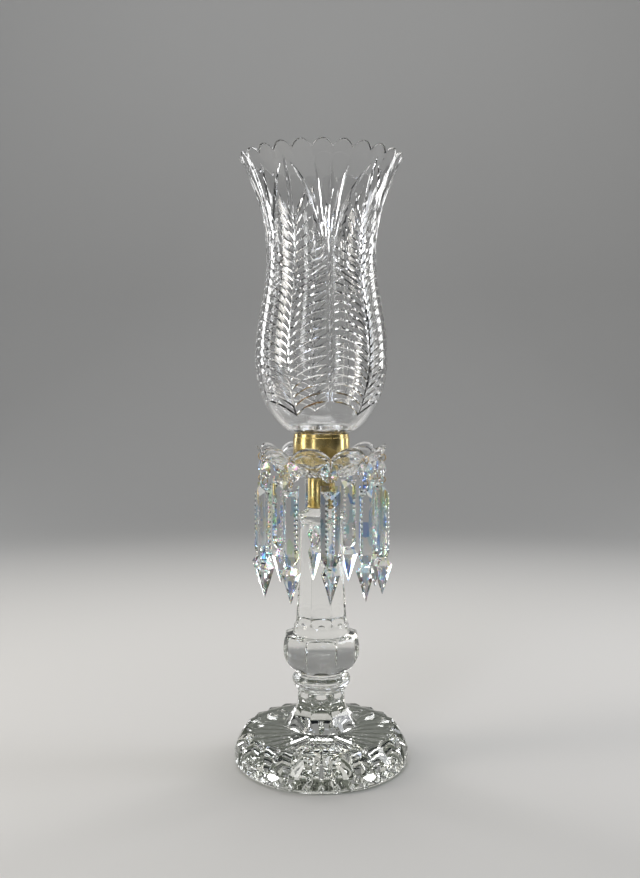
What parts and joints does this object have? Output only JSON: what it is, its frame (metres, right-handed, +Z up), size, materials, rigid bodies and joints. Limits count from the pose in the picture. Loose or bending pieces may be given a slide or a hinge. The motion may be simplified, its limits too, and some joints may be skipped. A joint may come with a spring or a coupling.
{
  "type": "candlestick with prisms",
  "caption": "Cut-glass candlestick with a lobed drip pan, hanging bead and prism drops, brass fittings and a scalloped hurricane shade.",
  "frame": {"origin": "centre of the ground rim that the foot stands on", "axes": "+Z up along the stem and shade, -Y towards the side that the picture shows, +X to its right"},
  "size_m": [0.152, 0.152, 0.5299],
  "materials": {
    "cut_crystal": "cut and polished lead crystal, clear",
    "shade_crystal": "blown lead crystal, cut outside and smooth inside",
    "drop_crystal": "faceted and polished lead crystal, clear with colour in the facets",
    "polished_brass": "polished and lacquered, with faint turning lines",
    "brass_wire": "drawn wire, bright",
    "leather_washer": "pressed, matt"
  },
  "bodies": {
    "stand": {"glass_stand": "cut_crystal", "brass_post": "polished_brass", "post_washer": "leather_washer", "drip_pan": "cut_crystal", "cup_washer": "leather_washer", "shade_cup": "polished_brass", "candle_socket": "polished_brass", "centre_screw": "polished_brass", "shade_seat_ring": "leather_washer"},
    "shade": {"hurricane_shade": "shade_crystal"},
    "upper_drop_01": {"hook_01": "brass_wire", "bead_01": "drop_crystal"},
    "lower_drop_01": {"link_01": "brass_wire", "prism_01": "drop_crystal"},
    "upper_drop_02": {"hook_02": "brass_wire", "bead_02": "drop_crystal"},
    "lower_drop_02": {"link_02": "brass_wire", "prism_02": "drop_crystal"},
    "upper_drop_03": {"hook_03": "brass_wire", "bead_03": "drop_crystal"},
    "lower_drop_03": {"link_03": "brass_wire", "prism_03": "drop_crystal"},
    "upper_drop_04": {"hook_04": "brass_wire", "bead_04": "drop_crystal"},
    "lower_drop_04": {"link_04": "brass_wire", "prism_04": "drop_crystal"},
    "upper_drop_05": {"hook_05": "brass_wire", "bead_05": "drop_crystal"},
    "lower_drop_05": {"link_05": "brass_wire", "prism_05": "drop_crystal"},
    "upper_drop_06": {"hook_06": "brass_wire", "bead_06": "drop_crystal"},
    "lower_drop_06": {"link_06": "brass_wire", "prism_06": "drop_crystal"},
    "upper_drop_07": {"hook_07": "brass_wire", "bead_07": "drop_crystal"},
    "lower_drop_07": {"link_07": "brass_wire", "prism_07": "drop_crystal"},
    "upper_drop_08": {"hook_08": "brass_wire", "bead_08": "drop_crystal"},
    "lower_drop_08": {"link_08": "brass_wire", "prism_08": "drop_crystal"},
    "upper_drop_09": {"hook_09": "brass_wire", "bead_09": "drop_crystal"},
    "lower_drop_09": {"link_09": "brass_wire", "prism_09": "drop_crystal"},
    "upper_drop_10": {"hook_10": "brass_wire", "bead_10": "drop_crystal"},
    "lower_drop_10": {"link_10": "brass_wire", "prism_10": "drop_crystal"}
  },
  "joints": [
    {"name": "shade_lift", "type": "slide", "parent": "stand", "child": "shade", "axis": [0, 0, 1], "range_m": [0, 0.06]},
    {"name": "bead_swing_01", "type": "hinge", "parent": "stand", "child": "upper_drop_01", "pos_m": [0.00743, -0.05288, 0.2665], "axis": [-0.9903, -0.1392, 0], "range_deg": [-6, 22]},
    {"name": "prism_swing_01", "type": "hinge", "parent": "upper_drop_01", "child": "lower_drop_01", "pos_m": [0.00751, -0.05347, 0.2484], "axis": [-0.9903, -0.1392, 0], "range_deg": [-10, 20]},
    {"name": "bead_swing_02", "type": "hinge", "parent": "stand", "child": "upper_drop_02", "pos_m": [0.0371, -0.03841, 0.2665], "axis": [-0.7193, -0.6947, 0], "range_deg": [-6, 22]},
    {"name": "prism_swing_02", "type": "hinge", "parent": "upper_drop_02", "child": "lower_drop_02", "pos_m": [0.03751, -0.03884, 0.2484], "axis": [-0.7193, -0.6947, 0], "range_deg": [-10, 20]},
    {"name": "bead_swing_03", "type": "hinge", "parent": "stand", "child": "upper_drop_03", "pos_m": [0.05259, -0.00927, 0.2665], "axis": [-0.1736, -0.9848, 0], "range_deg": [-6, 22]},
    {"name": "prism_swing_03", "type": "hinge", "parent": "upper_drop_03", "child": "lower_drop_03", "pos_m": [0.05318, -0.00938, 0.2484], "axis": [-0.1736, -0.9848, 0], "range_deg": [-10, 20]},
    {"name": "bead_swing_04", "type": "hinge", "parent": "stand", "child": "upper_drop_04", "pos_m": [0.048, 0.02341, 0.2665], "axis": [0.4384, -0.8988, 0], "range_deg": [-6, 22]},
    {"name": "prism_swing_04", "type": "hinge", "parent": "upper_drop_04", "child": "lower_drop_04", "pos_m": [0.04854, 0.02367, 0.2484], "axis": [0.4384, -0.8988, 0], "range_deg": [-10, 20]},
    {"name": "bead_swing_05", "type": "hinge", "parent": "stand", "child": "upper_drop_05", "pos_m": [0.02507, 0.04715, 0.2665], "axis": [0.8829, -0.4695, 0], "range_deg": [-6, 22]},
    {"name": "prism_swing_05", "type": "hinge", "parent": "upper_drop_05", "child": "lower_drop_05", "pos_m": [0.02535, 0.04768, 0.2484], "axis": [0.8829, -0.4695, 0], "range_deg": [-10, 20]},
    {"name": "bead_swing_06", "type": "hinge", "parent": "stand", "child": "upper_drop_06", "pos_m": [-0.00743, 0.05288, 0.2665], "axis": [0.9903, 0.1392, 0], "range_deg": [-6, 22]},
    {"name": "prism_swing_06", "type": "hinge", "parent": "upper_drop_06", "child": "lower_drop_06", "pos_m": [-0.00751, 0.05347, 0.2484], "axis": [0.9903, 0.1392, 0], "range_deg": [-10, 20]},
    {"name": "bead_swing_07", "type": "hinge", "parent": "stand", "child": "upper_drop_07", "pos_m": [-0.0371, 0.03841, 0.2665], "axis": [0.7193, 0.6947, 0], "range_deg": [-6, 22]},
    {"name": "prism_swing_07", "type": "hinge", "parent": "upper_drop_07", "child": "lower_drop_07", "pos_m": [-0.03751, 0.03884, 0.2484], "axis": [0.7193, 0.6947, 0], "range_deg": [-10, 20]},
    {"name": "bead_swing_08", "type": "hinge", "parent": "stand", "child": "upper_drop_08", "pos_m": [-0.05259, 0.00927, 0.2665], "axis": [0.1736, 0.9848, 0], "range_deg": [-6, 22]},
    {"name": "prism_swing_08", "type": "hinge", "parent": "upper_drop_08", "child": "lower_drop_08", "pos_m": [-0.05318, 0.00938, 0.2484], "axis": [0.1736, 0.9848, 0], "range_deg": [-10, 20]},
    {"name": "bead_swing_09", "type": "hinge", "parent": "stand", "child": "upper_drop_09", "pos_m": [-0.048, -0.02341, 0.2665], "axis": [-0.4384, 0.8988, 0], "range_deg": [-6, 22]},
    {"name": "prism_swing_09", "type": "hinge", "parent": "upper_drop_09", "child": "lower_drop_09", "pos_m": [-0.04854, -0.02367, 0.2484], "axis": [-0.4384, 0.8988, 0], "range_deg": [-10, 20]},
    {"name": "bead_swing_10", "type": "hinge", "parent": "stand", "child": "upper_drop_10", "pos_m": [-0.02507, -0.04715, 0.2665], "axis": [-0.8829, 0.4695, 0], "range_deg": [-6, 22]},
    {"name": "prism_swing_10", "type": "hinge", "parent": "upper_drop_10", "child": "lower_drop_10", "pos_m": [-0.02535, -0.04768, 0.2484], "axis": [-0.8829, 0.4695, 0], "range_deg": [-10, 20]}
  ]
}
